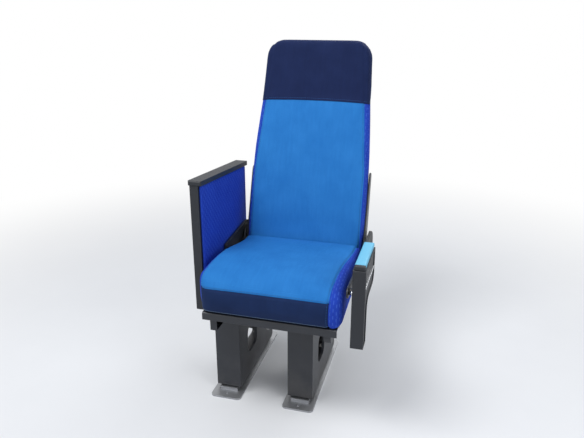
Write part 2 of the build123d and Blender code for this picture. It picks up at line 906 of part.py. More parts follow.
with BuildPart() as wall_core_piece:
    with BuildSketch(Plane.YZ.offset(wall_core_outer_x)):
        add(wall_outline())
    extrude(amount=wall_core)
    with BuildSketch(Plane.YZ.offset(wall_core_outer_x)):
        add(wall_outline())
        offset(amount=-wall_core_skin, mode=Mode.REPLACE)
        with Locations((wall_panel_front_y + wall_panel_length / 2, wall_panel_middle_z)):
            with GridLocations(wall_rib_pitch, 0, 2, 1):
                Rectangle(wall_rib, 2 * wall_panel_height, mode=Mode.SUBTRACT)
            Rectangle(2 * wall_panel_length, wall_rib, mode=Mode.SUBTRACT)
    extrude(amount=wall_core - wall_core_skin, mode=Mode.SUBTRACT)
keep(wall_core_piece, "wall_panel_core")

with BuildPart() as wall_cloth_piece:
    with BuildSketch(Plane.YZ.offset(wall_core_inner_x)):
        add(wall_outline(wall_cloth_margin, wall_cloth_lift))
    extrude(amount=wall_cloth)
    fillet(wall_cloth_piece.faces().sort_by(Axis.X)[-1].edges(), radius=wall_cloth_round)
keep(wall_cloth_piece, "wall_panel_cloth")

with BuildPart() as wall_cap_piece:
    cap_front_y = wall_panel_front_y - wall_cap_overhang
    cap_rear_y = wall_panel_rear_y + wall_cap_overhang
    with BuildSketch(Plane.YZ.offset(wall_panel_inner_x)):
        with BuildLine():
            Polyline(
                (cap_front_y, wall_top_z(cap_front_y)),
                (cap_front_y, wall_top_z(cap_front_y) + wall_cap),
                (cap_rear_y, wall_top_z(cap_rear_y) + wall_cap),
                (cap_rear_y, wall_top_z(cap_rear_y)),
                close=True,
            )
        make_face()
    extrude(amount=-wall_cap_width)
    fillet(wall_cap_piece.faces().sort_by(Axis.Z)[-1].edges(), radius=wall_cap_round)
keep(wall_cap_piece, "wall_panel_cap")


def wall_bracket(centre_y):
    length = wall_core_inner_x + side_rail_half
    with BuildPart() as bracket:
        with BuildSketch(Plane.YZ.offset(-side_rail_half)):
            with Locations((centre_y, frame_top_z - wall_bracket_drop)):
                Rectangle(wall_bracket_depth, wall_bracket_height)
                offset(amount=-wall_bracket_wall, mode=Mode.SUBTRACT)
        extrude(amount=length)
    return bracket


for place, setback in wall_bracket_setback.items():
    keep(wall_bracket(cushion_front_y + setback), f"wall_panel_bracket_{place}")


os.makedirs("parts", exist_ok=True)
for piece in pieces:
    export_step(piece, f"parts/{piece.label}.step")

box = Compound(children=pieces).bounding_box()
print(f"box from {box.min.X:.2f}, {box.min.Y:.2f}, {box.min.Z:.2f}")
print(f"box to {box.max.X:.2f}, {box.max.Y:.2f}, {box.max.Z:.2f}")
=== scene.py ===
# %% [markdown]
# # A passenger seat of a minibus, dressed in Blender
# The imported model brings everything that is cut, bent or moulded: rails, legs, tubes, hinge
# plates, covers, the armrest and the shell of the back. Here the upholstery is sewn over
# it, and every surface gets its finish. Lengths are in metres, in the frame of the packed
# model: +X to the aisle, +Y to the rear of the seat, +Z up.

import json
from math import cos, pi, radians, sin, tan

import bmesh
import bpy
import numpy as np
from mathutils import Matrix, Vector
from mathutils.bvhtree import BVHTree


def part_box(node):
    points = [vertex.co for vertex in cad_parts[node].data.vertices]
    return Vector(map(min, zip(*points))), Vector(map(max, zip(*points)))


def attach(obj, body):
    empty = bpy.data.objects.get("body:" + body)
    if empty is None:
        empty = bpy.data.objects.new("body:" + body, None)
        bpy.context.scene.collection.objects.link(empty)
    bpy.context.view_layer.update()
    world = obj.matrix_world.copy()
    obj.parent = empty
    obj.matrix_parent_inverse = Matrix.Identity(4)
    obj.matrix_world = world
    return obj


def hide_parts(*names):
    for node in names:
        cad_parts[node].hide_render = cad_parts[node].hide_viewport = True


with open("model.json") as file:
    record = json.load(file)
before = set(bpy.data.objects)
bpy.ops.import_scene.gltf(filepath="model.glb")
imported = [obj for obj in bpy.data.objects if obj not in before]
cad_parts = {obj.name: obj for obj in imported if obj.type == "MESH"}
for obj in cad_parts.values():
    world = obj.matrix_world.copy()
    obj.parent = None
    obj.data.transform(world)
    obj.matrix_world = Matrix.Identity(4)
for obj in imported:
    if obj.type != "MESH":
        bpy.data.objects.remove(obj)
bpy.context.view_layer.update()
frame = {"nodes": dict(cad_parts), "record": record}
mm = 0.001

# %% [markdown]
# ## Writing a shader as a sum
# A finish is a small formula: a weave is two waves, wear is noise pushed through a
# threshold. Written node by node it takes pages. `Wire` wraps one output socket, so that
# `1 - weave * 0.3` adds the Math nodes for us. Any other node comes from `Wire.node`.

# %% A socket that does arithmetic
mix_factor, mix_low, mix_high, mix_colour = 0, 6, 7, 2  # the Mix node's sockets for colours


class Wire:
    def __init__(self, tree, out):
        self.tree = tree
        self.out = out

    def node(self, kind, settings, sockets, output=0):
        """Adds a node of that kind: its settings first, then a value or wire for each socket."""
        made = self.tree.nodes.new(kind)
        for name, value in settings.items():
            setattr(made, name, value)
        for key, value in sockets.items():
            if isinstance(value, Wire):
                self.tree.links.new(value.out, made.inputs[key])
            else:
                made.inputs[key].default_value = value
        return Wire(self.tree, made.outputs[output])

    def maths(self, operation, *values):
        return self.node("ShaderNodeMath", {"operation": operation}, dict(enumerate(values)))

    def __add__(self, other):
        return self.maths("ADD", self, other)

    def __sub__(self, other):
        return self.maths("SUBTRACT", self, other)

    def __rsub__(self, other):
        return self.maths("SUBTRACT", other, self)

    def __mul__(self, other):
        return self.maths("MULTIPLY", self, other)

    def __truediv__(self, other):
        return self.maths("DIVIDE", self, other)

    __radd__ = __add__
    __rmul__ = __mul__

    def wave(self, pitch):
        """A wave of 0 to 1 along this coordinate, one crest for each pitch."""
        return self.maths("SINE", self * (2 * pi / pitch)) * 0.5 + 0.5

    def between(self, low, high):
        """0 below low, 1 above high and smooth between them."""
        sockets = {"Value": self, "From Min": low, "From Max": high}
        return self.node("ShaderNodeMapRange", {"interpolation_type": "SMOOTHSTEP"}, sockets)

    def noise(self, size, detail, roughness=0.5):
        """Soft noise of 0 to 1 on this vector, with blobs of about that size."""
        sockets = {"Vector": self, "Scale": 1 / size, "Detail": detail, "Roughness": roughness}
        return self.node("ShaderNodeTexNoise", {}, sockets)

    def axis(self, name):
        return self.node("ShaderNodeSeparateXYZ", {}, {0: self}, output="XYZ".index(name))

    def stretched(self, x, y, z):
        """This vector with each axis scaled, for grain that runs one way."""
        scale = {0: self, 1: (x, y, z)}
        return self.node("ShaderNodeVectorMath", {"operation": "MULTIPLY"}, scale)

    def tint(self, low, high):
        """From one colour to the other as this value goes from 0 to 1. Each may be a wire."""
        sockets = {mix_factor: self}
        for key, colour in ((mix_low, low), (mix_high, high)):
            sockets[key] = colour if isinstance(colour, Wire) else (*colour, 1)
        return self.node("ShaderNodeMix", {"data_type": "RGBA"}, sockets, output=mix_colour)


# %% [markdown]
# ## One way to make every finish
# Each material is a Principled shader. The colour, the roughness and a height for the bump
# change over the surface, so they are wires. Sheen, coat and metal are plain numbers on the
# shader's own sockets, because they are the same all over. `edge_round` lets the Bevel node
# soften the light on the sharp edges of bent sheet and mouldings.

# %% Start and finish a material
bevel_samples = 6


def new_finish(name):
    """A new material, its shader, and a wire with the place on the piece in metres."""
    made = bpy.data.materials.new(name)
    made.use_nodes = True
    tree = made.node_tree
    coordinate = tree.nodes.new("ShaderNodeTexCoord")
    return made, tree.nodes["Principled BSDF"], Wire(tree, coordinate.outputs["Object"])


def set_finish(shader, colour, roughness, height, depth, edge_round=0, **fixed):
    """Wires colour, roughness and bump to the shader and sets its fixed numbers."""
    links = colour.tree.links
    links.new(colour.out, shader.inputs["Base Color"])
    links.new(roughness.out, shader.inputs["Roughness"])
    sockets = {"Height": height, "Distance": depth, "Strength": 1.0}
    if edge_round:
        settings = {"samples": bevel_samples}
        sockets["Normal"] = colour.node("ShaderNodeBevel", settings, {"Radius": edge_round})
    links.new(colour.node("ShaderNodeBump", {}, sockets).out, shader.inputs["Normal"])
    for socket, value in fixed.items():
        shader.inputs[socket.replace("_", " ")].default_value = value


# %% [markdown]
# ## The cloths
# Seat cloth is a flat weave: ribs of yarn both ways, a slight change of tone from yarn to
# yarn, and a soft sheen at grazing angles. The face of the seat is azure, its sides are
# royal blue with short pale dashes, and the cover of the head is navy. The apron is navy
# too, and its dark is partly painted shade, the shade under the nose of the cushion. A
# picture of cloth would blur close up, so the weave is two crossed waves. They read the
# cover's own UV map, which is in metres along the cloth, so the yarn stays on the cover.

# %% Weave in three blues
yarn, weave_depth = 2.4 * mm, 0.5 * mm
dash_column, dash_pitch, dash_step = 9 * mm, 22 * mm, 11 * mm  # step: from column to column


def seat_cloth(name, pale, deep, dash=None, sheen=0.35):
    made, shader, place = new_finish(name)
    cloth = place.node("ShaderNodeTexCoord", {}, {}, output="UV")
    across = cloth.axis("X")
    along = cloth.axis("Y")
    crossing = across.wave(yarn) * along.wave(yarn)
    slub = cloth.stretched(1, 0.12, 1).noise(9 * mm, detail=3, roughness=0.6)
    cloud = place.noise(70 * mm, detail=3)
    tone = crossing * 0.4 + slub * 0.18 + cloud * 0.28
    colour = tone.between(0.0, 0.7).tint(deep, pale)
    if dash:
        column = across.maths("FLOOR", across / dash_column)
        shifted = along + column * dash_step
        strip = across.wave(dash_column).between(0.7, 0.9)
        length = shifted.wave(dash_pitch).between(0.45, 0.6)
        colour = (strip * length * 0.5).tint(colour, dash)
    set_finish(
        shader, colour, 0.92 - cloud * 0.14, crossing * 0.8 + slub * 0.2, weave_depth,
        Sheen_Weight=sheen, Sheen_Roughness=0.45, Sheen_Tint=(*pale, 1), Specular_IOR_Level=0.22,
    )
    return made


face_cloth = seat_cloth("face_cloth", (0.030, 0.245, 0.640), (0.008, 0.120, 0.420))
side_cloth = seat_cloth(
    "side_cloth", (0.018, 0.075, 0.560), (0.008, 0.030, 0.330), dash=(0.06, 0.15, 0.64)
)
cover_cloth = seat_cloth("cover_cloth", (0.008, 0.021, 0.092), (0.003, 0.008, 0.040), sheen=0.5)
# the apron's navy is partly painted shade: it stands in for the shade under the cushion's nose
apron_navy_and_shade_cloth = seat_cloth("apron_navy_and_shade_cloth", (0.008, 0.027, 0.104), (0.003, 0.012, 0.050))
print("cloths", [m.name for m in (face_cloth, side_cloth, cover_cloth, apron_navy_and_shade_cloth)])


# %% Thread for the stitches
def sewing_thread(name, dark, light):
    made, shader, place = new_finish(name)
    twist = (place.axis("X") + place.axis("Z")).wave(0.8 * mm)
    set_finish(shader, twist.tint(dark, light), 0.7 - twist * 0.1, twist, depth=0.1 * mm)
    return made


thread = sewing_thread("thread", (0.006, 0.05, 0.20), (0.03, 0.16, 0.42))
pale_thread = sewing_thread("pale_thread", (0.16, 0.26, 0.36), (0.30, 0.42, 0.52))
print("threads", thread.name, pale_thread.name)

# %% [markdown]
# ## Plastic, foam skin, paint and bare metal
# Moulded plastic has a fine leather-like grain and goes shiny where clothes rub it. Powder
# coat on the legs has a slight orange peel and dusty, scuffed edges near the floor. The
# rails are mill-finish aluminium, brushed along their length. The pad of the armrest is
# foam with its own smooth skin, and its pale blue is a painted reflection: it stands in for
# the glare of the lamps on the pad's top. One plain colour for each would look like a toy,
# so a little noise moves the tone and the gloss together, as use does.


# %% Moulded plastic and foam skin
def moulded(name, dark, light, gloss, grain, depth, coat=0.0):
    """Plastic or skin from dark to light, with a grain of that size and depth."""
    made, shader, place = new_finish(name)
    cells = place.node("ShaderNodeTexVoronoi", {}, {"Vector": place, "Scale": 1 / grain})
    cloud = place.noise(55 * mm, detail=4, roughness=0.6)
    rub = place.noise(18 * mm, detail=5, roughness=0.7).between(0.55, 0.75)
    colour = (cloud * 0.6 + rub * 0.4).tint(dark, light)
    set_finish(
        shader, colour, gloss + cloud * 0.16 - rub * 0.10, cells, depth, edge_round=0.8 * mm,
        Specular_IOR_Level=0.45, Coat_Weight=coat, Coat_Roughness=0.35,
    )
    return made


black_plastic = moulded(
    "black_plastic", (0.010, 0.012, 0.017), (0.022, 0.026, 0.034),
    gloss=0.46, grain=1.6 * mm, depth=0.16 * mm,
)
# the pale blue of the pad's skin is a painted reflection, the glare of the lamps on its top
pad_glare_skin = moulded(
    "pad_glare_skin", (0.110, 0.420, 0.640), (0.170, 0.530, 0.760),
    gloss=0.52, grain=2.2 * mm, depth=0.12 * mm, coat=0.1,
)
print("moulded", black_plastic.name, pad_glare_skin.name)


# %% Powder coat
def coated_steel(name, base, dust):
    made, shader, place = new_finish(name)
    peel = place.noise(2.6 * mm, detail=2, roughness=0.4)
    cloud = place.noise(90 * mm, detail=4, roughness=0.6)
    scuff = place.stretched(1, 0.25, 1).noise(14 * mm, detail=6, roughness=0.75)
    scuff = scuff.between(0.60, 0.72)
    near_floor = 1 - place.axis("Z").between(20 * mm, 200 * mm)
    soil = near_floor * cloud.between(0.35, 0.75) * 0.45 + scuff * 0.18
    colour = soil.tint(cloud.tint(base, [v * 1.8 for v in base]), dust)
    set_finish(
        shader, colour, 0.38 + soil * 0.35 + peel * 0.06, peel, depth=0.12 * mm,
        edge_round=0.9 * mm, Specular_IOR_Level=0.5,
    )
    return made


black_steel = coated_steel("black_steel", (0.012, 0.014, 0.019), (0.085, 0.080, 0.075))
print("coated", black_steel.name)


# %% Aluminium, bright trim and pins
def bare_metal(name, dark, light, gloss, brushed):
    """Metal with fine lines along Y; brushed is how far apart they are."""
    made, shader, place = new_finish(name)
    lines = place.stretched(1, 0.02, 1).noise(brushed, detail=3, roughness=0.7)
    cloud = place.noise(60 * mm, detail=4, roughness=0.6)
    colour = (lines * 0.5 + cloud * 0.5).tint(dark, light)
    set_finish(
        shader, colour, gloss + lines * 0.18 + cloud * 0.10, lines, depth=0.05 * mm,
        edge_round=0.6 * mm, Metallic=1.0,
    )
    return made


rail_aluminium = bare_metal(
    "rail_aluminium", (0.26, 0.27, 0.29), (0.48, 0.49, 0.51), gloss=0.36, brushed=1.5 * mm
)
bright_trim = bare_metal(
    "bright_trim", (0.62, 0.64, 0.67), (0.86, 0.87, 0.89), gloss=0.10, brushed=0.8 * mm
)
pin_steel = bare_metal(
    "pin_steel", (0.30, 0.30, 0.31), (0.46, 0.46, 0.47), gloss=0.28, brushed=0.6 * mm
)
print("metals", rail_aluminium.name, bright_trim.name, pin_steel.name)

# %% Plywood of the board inside the back
frame_board, shader, place = new_finish("frame_board")
grain = place.stretched(1, 0.2, 0.08).noise(6 * mm, detail=5, roughness=0.65)
ply = place.axis("Y").wave(2.8 * mm)
timber = (grain * 0.7 + ply * 0.3).tint((0.16, 0.09, 0.045), (0.36, 0.23, 0.13))
set_finish(shader, timber, grain * 0.2 + 0.6, grain, depth=0.2 * mm)
print("finishes", len(bpy.data.materials))

# %% [markdown]
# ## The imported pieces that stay
# Metal and mouldings already have their real shape, so they keep their mesh. Each one only
# gets the finish of its material slot from the record. The soft pieces get theirs too, but
# they are replaced further down.

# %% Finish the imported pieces
finish_of_slot = {
    "face_cloth": face_cloth, "side_cloth": side_cloth, "cover_cloth": cover_cloth,
    "black_plastic": black_plastic, "pad_foam": pad_glare_skin, "bright_trim": bright_trim,
    "pin_steel": pin_steel, "black_steel": black_steel, "frame_board": frame_board,
    "rail_aluminium": rail_aluminium,
}
for part in frame["record"]["subparts"]:
    node = frame["nodes"][part["node"]]
    node.data.materials.clear()
    node.data.materials.append(finish_of_slot[part["material_slot"]])

# %% [markdown]
# ## A block of foam to start from
# Foam is cut from a block, and all the soft parts here start as one too: a grid folded into
# a block with rounded edges. `bend_seat` and `bend_back` then bend it to the part's own
# outline. A cube with a Bevel could be cut up as well, but here every face is a regular grid
# of quads, which bends and swells evenly.


# %% Points of a mesh as an array
def read_all(items, name, width=3, kind=float):
    """One value or vector of every vertex, face or corner of a mesh, as an array."""
    values = np.empty(len(items) * width, dtype=kind)
    items.foreach_get(name, values)
    return values.reshape(-1, width) if width > 1 else values


def read_points(mesh):
    return read_all(mesh.vertices, "co")


def write_points(mesh, points):
    mesh.vertices.foreach_set("co", np.ascontiguousarray(points, dtype=float).ravel())
    mesh.update()


def closed_mesh(bm, name):
    """Ends the work on a bmesh: its faces point outwards, and it becomes a mesh."""
    bmesh.ops.recalc_face_normals(bm, faces=bm.faces)
    mesh = bpy.data.meshes.new(name)
    bm.to_mesh(mesh)
    bm.free()
    return mesh


# %% Rounded block
least_length = 1e-9  # keeps a division by a length of 0 harmless


def rounded_block(low, high, corner, cell):
    """A closed mesh of quads about that size, a block with that corner radius."""
    low = np.array(low)
    high = np.array(high)
    counts = np.maximum(2, np.round((high - low) / cell).astype(int))
    bm = bmesh.new()
    found = {}

    def corner_vertex(index):
        if index not in found:
            found[index] = bm.verts.new(low + (high - low) * np.array(index) / counts)
        return found[index]

    for axis in range(3):
        a, b = [k for k in range(3) if k != axis]
        for end in (0, counts[axis]):
            for i in range(counts[a]):
                for j in range(counts[b]):
                    ring = []
                    for di, dj in ((0, 0), (1, 0), (1, 1), (0, 1)):
                        index = [0, 0, 0]
                        index[axis], index[a], index[b] = end, i + di, j + dj
                        ring.append(corner_vertex(tuple(int(k) for k in index)))
                    bm.faces.new(ring)
    mesh = closed_mesh(bm, "block")
    points = read_points(mesh)
    core = np.clip(points, low + corner, high - corner)
    out = points - core
    length = np.linalg.norm(out, axis=1, keepdims=True)
    write_points(mesh, core + corner * out / np.maximum(length, least_length))
    return mesh


# %% [markdown]
# ## Filling a cover with foam
# Cloth over foam is stretched between its seams and swells in between. That could be
# sculpted by hand, but a simulation finds the swell by itself: the block is remeshed to even
# quads, held along its seams and its hidden faces, and blown up a little by Blender's Cloth.
# Where a point would move further than foam does, it is held back.


# %% Objects and their meshes
def plain_mesh(made):
    """What the object's modifiers make of it, as a mesh of its own."""
    graph = bpy.context.evaluated_depsgraph_get()
    shaped = made.evaluated_get(graph)
    return bpy.data.meshes.new_from_object(shaped, preserve_all_data_layers=True, depsgraph=graph)


def bake_modifiers(made):
    """Gives the object the mesh that its modifiers make, and takes them away."""
    mesh = plain_mesh(made)
    made.modifiers.clear()
    made.data = mesh


def subdivide_once(made):
    smooth = made.modifiers.new("smooth", "SUBSURF")
    smooth.levels = smooth.render_levels = 1
    bake_modifiers(made)


def new_object(name, mesh, *finishes):
    made = bpy.data.objects.new(name, mesh)
    bpy.context.scene.collection.objects.link(made)
    mesh.materials.clear()
    for finish in finishes:
        mesh.materials.append(finish)
    return made


# %% Inflate with cloth
foam_pressure, foam_frames, cloth_quality = 4.0, 20, 4


def inflate(name, mesh, held, voxel, reach):
    """Remeshes the block and swells it as cloth, by no more than reach, where held says 0."""
    made = new_object(name, mesh)
    remesh = made.modifiers.new("even", "REMESH")
    remesh.mode = "VOXEL"
    remesh.voxel_size = voxel
    bake_modifiers(made)
    rest = read_points(made.data)
    group = made.vertex_groups.new(name="held")
    for index, weight in enumerate(held(rest)):
        group.add([index], float(weight), "REPLACE")
    cloth = made.modifiers.new("cloth", "CLOTH")
    cloth.settings.vertex_group_mass = "held"
    cloth.settings.use_pressure = True
    cloth.settings.uniform_pressure_force = foam_pressure
    cloth.settings.effector_weights.gravity = 0
    cloth.settings.quality = cloth_quality
    cloth.point_cache.frame_end = foam_frames
    for step in range(1, foam_frames + 1):
        bpy.context.scene.frame_set(step)
    moved = read_points(plain_mesh(made)) - rest
    bpy.context.scene.frame_set(1)
    made.modifiers.clear()
    length = np.linalg.norm(moved, axis=1, keepdims=True)
    limited = reach * np.tanh(length / reach)
    write_points(made.data, rest + moved * limited / np.maximum(length, least_length))
    print(name, "moved up to", round(float(length.max()) / mm, 1), "mm before the limit")
    subdivide_once(made)
    mesh = made.data
    bpy.data.objects.remove(made)
    print(name, "faces", len(mesh.polygons))
    return mesh


# %% [markdown]
# ## The seat cushion
# The real cushion is a block of foam in a sewn cover. The azure panel on top rolls over the
# nose of the foam and ends at a navy apron, whose dark is partly painted shade, the shade
# under the nose; a royal blue gusset closes each side. It could be three separate lumps, but
# then the seams would gape. Here one block is bent, swollen and grooved, and only then cut
# along its seams, so the three pieces meet exactly.

# %% Outline of the seat cushion
base_low, base_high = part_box("cushion_panel")
seat_front, seat_rear = base_low.y, base_high.y
seat_bottom, seat_top = base_low.z + 0.3 * mm, base_high.z - 10 * mm  # the roll rises higher
apron_top = seat_bottom + 84 * mm
seat_half, seat_flare = 217 * mm, 9 * mm  # half its width at the rear, and more at the nose
seat_nose, seat_corner, seat_shoulder = 64 * mm, 50 * mm, 30 * mm  # radii of the foam
seat_undercut, seat_tuck = 14 * mm, 4 * mm  # how far its foot stands back
seat_crown, seat_hump = 4 * mm, 22 * mm  # rise of the middle and of the thigh roll
hump_spread, hump_start = 1.3, 0.08  # the roll's place along the cushion, as shares of it
full_lift, full_corner = 9 * mm, 0.6  # on the wall side: rise of the edge, corner taken off
full_from, full_to, full_inner = 0.15, 0.6, 60 * mm  # where that sets in
seams = {1: (186 * mm, 200 * mm), -1: (217 * mm, 207 * mm)}  # at the front and the rear
print("cushion from", round(seat_front / mm), "to", round(seat_rear / mm), "mm")


# %% Curves that the outline is made of
def quarter_round(distance, radius):
    """How far a rounded edge stands back at that distance from its end."""
    into = radius - np.clip(distance, 0, radius)
    return radius - np.sqrt(radius * radius - into * into)


def ramp(values, low, high):
    return np.clip((values - low) / (high - low), 0, 1)


def seat_edge(y):
    """Half the width of the cushion at that y. It widens towards the nose."""
    return seat_half + seat_flare * (seat_rear - y) / (seat_rear - seat_front)


def seat_seam(side, y):
    """How far a seam is from the middle at that y. On the wall side it runs along the edge."""
    share = (y - seat_front) / (seat_rear - seat_front)
    front, rear = seams[side]
    return front + (rear - front) * share


def seat_seam_distance(points):
    """How far outside the nearer seam a point is, and below 0 between the two."""
    x, y = points[:, 0], points[:, 1]
    return np.abs(x) - np.where(x > 0, seat_seam(1, y), seat_seam(-1, y))


# %% Bend and fill the seat cushion
def bend_seat(points):
    """Bends the block: a thigh roll across the front half, soft shoulders, a tucked-in foot.
    On the wall side the foam stays full nearly to its edge, as the photograph shows."""
    x, y, z = points.T
    share = (seat_rear - y) / (seat_rear - seat_front)
    height = (z - seat_bottom) / (seat_top - seat_bottom)
    lower = np.clip((seat_top - seat_nose - z) / (seat_top - seat_nose - seat_bottom), 0, 1)
    setback = quarter_round(seat_top - z, seat_nose) + seat_undercut * lower * lower
    hump = seat_hump * np.sin(pi * np.clip(share / hump_spread - hump_start, 0, 1)) ** 2
    dome = seat_crown * (1 - (x / seat_half) ** 4) * (1 - (2 * share - 1) ** 4)
    full = np.where(x < 0, ramp(share, full_from, full_to), 0)
    lift = full_lift * full * ramp(-x, full_inner, seat_half)
    shoulder = quarter_round(seat_half - np.abs(x), seat_shoulder * (1 - full_corner * full))
    z = z + (hump + dome + lift - shoulder) * height
    y = seat_rear - share * (seat_rear - seat_front - setback)
    tuck = quarter_round(y - seat_front, seat_corner) + seat_tuck * lower
    x = x / seat_half * (seat_edge(y) - tuck)
    return np.stack([x, y, z], axis=1)


def seat_held(points):
    """1 where the cover can't swell: on the pan, at the rear and sides, along the seams."""
    x, y, z = points.T
    pan = 1 - ramp(z, seat_bottom + 6 * mm, seat_bottom + 40 * mm)
    rear = ramp(y, seat_rear - 30 * mm, seat_rear - 8 * mm)
    seam = 0.75 * (1 - ramp(np.abs(seat_seam_distance(points)), 4 * mm, 22 * mm))
    side = ramp(np.abs(x), seat_edge(y) - 14 * mm, seat_edge(y) - 4 * mm)
    return np.max([pan, rear, seam, side], axis=0)


block = rounded_block(
    (-seat_half, seat_front, seat_bottom), (seat_half, seat_rear - 0.5 * mm, seat_top),
    corner=13 * mm, cell=5 * mm,
)
write_points(block, bend_seat(read_points(block)))
seat_skin = inflate("seat", block, seat_held, voxel=6 * mm, reach=12 * mm)

# %% [markdown]
# ## Seams, cuts and weave
# A seam pulls the cover in, so the surface gets a narrow groove along it. A Boolean could
# cut the pieces apart, but it leaves slivers along a seam. So the mesh is first shifted
# sideways, row by row, until the seam is a plane, then bisected, closed, and shifted back.
# The weave runs flat over each side of the block.


# %% Groove and cut
def press(mesh, distance, depth, width):
    """Pulls the surface in by depth where the distance to the seam is 0, over that width."""
    points = read_points(mesh)
    pull = depth * np.exp(-((distance(points) / width) ** 2))
    write_points(mesh, points - read_all(mesh.vertices, "normal") * pull[:, None])


def bisect(bm, point, normal, clear=False):
    """Cuts along a plane. clear takes away what is on the side that the normal points to."""
    cut = bmesh.ops.bisect_plane(
        bm, geom=bm.verts[:] + bm.edges[:] + bm.faces[:], plane_co=point, plane_no=normal,
        clear_outer=clear,
    )
    return [edge for edge in cut["geom_cut"] if isinstance(edge, bmesh.types.BMEdge)]


def cut_between(mesh, seam, low, high, level=None):
    """A closed piece of the mesh from one side's seam to the other's. low and high are -1 or
    1 for a side's seam, or None for no cut. level is the z of a cut that keeps both sides."""
    bm = bmesh.new()
    bm.from_mesh(mesh)
    for side, outward in ((low, -1), (high, 1)):
        if side is not None:
            for vertex in bm.verts:
                vertex.co.x -= side * seam(side, vertex.co.y)
            rim = bisect(bm, (0, 0, 0), (outward, 0, 0), clear=True)
            bmesh.ops.holes_fill(bm, edges=rim, sides=0)
            for vertex in bm.verts:
                vertex.co.x += side * seam(side, vertex.co.y)
    if level:
        bisect(bm, (0, 0, level), (0, 0, 1))
    return closed_mesh(bm, "piece")


# %% Lay the weave and make a padded piece
def lay_weave(mesh, turn=None):
    """Lays the cloth on each side of the piece: its coordinates are metres along the surface."""
    points = read_points(mesh)
    normals = read_all(mesh.polygons, "normal")
    if turn is not None:
        points = points @ turn
        normals = normals @ turn
    corner_point = read_all(mesh.loops, "vertex_index", 1, int)
    count = read_all(mesh.polygons, "loop_total", 1, int)
    facing = np.repeat(np.argmax(np.abs(normals), axis=1), count)
    x, y, z = points[corner_point].T
    across = np.where(facing == 0, y, x)
    along = np.where(facing == 2, y, z)
    layer = mesh.uv_layers.new(name="cloth")
    layer.data.foreach_set("uv", np.stack([across, along], axis=1).ravel())


def smooth_shading(mesh):
    mesh.polygons.foreach_set("use_smooth", np.ones(len(mesh.polygons), dtype=bool))
    mesh.update()


def upholster(name, mesh, body, node, slot_name, fill, *finishes):
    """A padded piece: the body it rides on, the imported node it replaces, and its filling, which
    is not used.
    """
    smooth_shading(mesh)
    piece = new_object(name, mesh, *finishes)
    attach(piece, body)
    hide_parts(node)
    print(name, "faces", len(mesh.polygons))
    return piece


# %% Cut the seat cushion into its panel and gussets
apron_reach = 90 * mm  # how far back from the nose a face can still be the apron's
foam_fill, firm_fill = 0.9, 1.0


def on_apron(points):
    return (points[:, 2] < apron_top) & (points[:, 1] < seat_front + apron_reach)


def apron_distance(points):
    front = (points[:, 1] < seat_front + apron_reach) & (seat_seam_distance(points) < 0)
    return np.where(front, points[:, 2] - apron_top, 1)


press(seat_skin, seat_seam_distance, depth=4.5 * mm, width=4.5 * mm)
press(seat_skin, apron_distance, depth=3.0 * mm, width=3.5 * mm)
cushion_pieces = {
    "seat_panel": (-1, 1, "cushion_panel", "face_cloth", face_cloth, apron_navy_and_shade_cloth),
    "seat_gusset_wall": (None, -1, "cushion_gusset_wall", "side_cloth", side_cloth),
    "seat_gusset_aisle": (1, None, "cushion_gusset_aisle", "side_cloth", side_cloth),
}
dressed_seat = []
for name, (inner, outer, node, slot_name, *finishes) in cushion_pieces.items():
    mesh = cut_between(seat_skin, seat_seam, inner, outer, apron_top)
    lay_weave(mesh)
    dressed_seat.append(upholster(name, mesh, "base", node, slot_name, foam_fill, *finishes))
panel = dressed_seat[0].data
# the apron's faces take the navy cloth, whose dark is partly painted shade under the nose
second_finish = on_apron(read_all(panel.polygons, "center")).astype(np.int32)
panel.polygons.foreach_set("material_index", second_finish)
print("apron faces", int(second_finish.sum()))

# %% [markdown]
# ## The back
# The back is upholstered in the same way, but it leans. It could be modelled in place, with
# every number turned by its lean. It is easier made upright in its own coordinates, x
# across, u up the back and v to the rear, and turned into the seat's frame at the end. The
# panel narrows to the top between two bolsters, and the foam is rounded below so that it
# clears the cushion when the back reclines.

# %% Outline of the back
pivot = np.array(frame["record"]["behaviour"]["joints"][0]["pos_m"])
lean = radians(16)
back_axes = np.array([[1, 0, 0], [0, sin(lean), cos(lean)], [0, cos(lean), -sin(lean)]])
back_top, back_foot, back_rear = 716 * mm, 46 * mm, 5.4 * mm  # in u, in -u and in v
foot_radius, top_radius, face_radius, side_radius = 50 * mm, 62 * mm, 30 * mm, 24 * mm
half_places = np.array([-50, 60, 150, 330, 505, 716]) * mm
half_widths = np.array([213, 214.4, 214.4, 210, 197, 188]) * mm - 0.3 * mm  # clear of the arms
panel_places = np.array([-50, 250, 766]) * mm
panel_widths = np.array([204, 201, 158]) * mm
front_places = np.array([0, 80, 150, 260, 400, 505, 716]) * mm
front_depths = np.array([-49, -52, -52, -49, -42, -38, -38]) * mm
print("pivot in mm", [round(float(v) / mm, 1) for v in pivot])


# %% Bend and fill the back
def back_seam(side, u):
    """How far a seam is from the middle at that u, the same on both sides."""
    return np.interp(u, panel_places, panel_widths)


def back_half(u):
    return np.interp(u, half_places, half_widths)


def bend_back(points):
    """Bends a block of x -1 to 1, u in metres and v from 0 at the front to 1 behind."""
    x, u, v = points.T
    low = np.clip(-u, 0, back_foot)
    front = np.interp(u, front_places, front_depths) * np.sqrt(1 - (low / foot_radius) ** 2)
    front = front + quarter_round(back_top - u, face_radius)
    half = back_half(u) - quarter_round(back_top - u, top_radius)
    fuller = 0.5 + 0.5 * ramp(u, 420 * mm, 560 * mm)
    front = front + quarter_round(half * (1 - np.abs(x)), side_radius) * fuller
    return np.stack([x * half, u, front + v * (back_rear - front)], axis=1)


